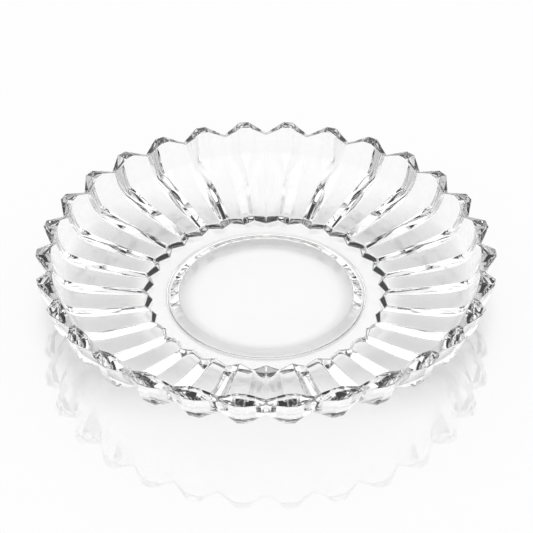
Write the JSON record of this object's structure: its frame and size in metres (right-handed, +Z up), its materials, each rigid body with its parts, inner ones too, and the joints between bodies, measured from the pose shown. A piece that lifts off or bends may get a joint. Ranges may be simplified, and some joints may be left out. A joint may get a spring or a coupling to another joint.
{
  "type": "serving plate",
  "caption": "Shallow round serving plate of clear pressed crystal, with V-shaped ribs under a flaring wall, a zigzag rim of blunt points and a foot with a zigzag edge on a plain standing ring.",
  "frame": {"origin": "on the plate's axis, in the plane that it stands on", "axes": "+Z up along the plate's axis, +X out through one point of the rim, +Y away from the picture's camera through a notch"},
  "size_m": [0.32, 0.319, 0.0472],
  "materials": {
    "crystal": "clear, fire-polished"
  },
  "bodies": {
    "root": {"serving_plate": "crystal"}
  },
  "joints": []
}
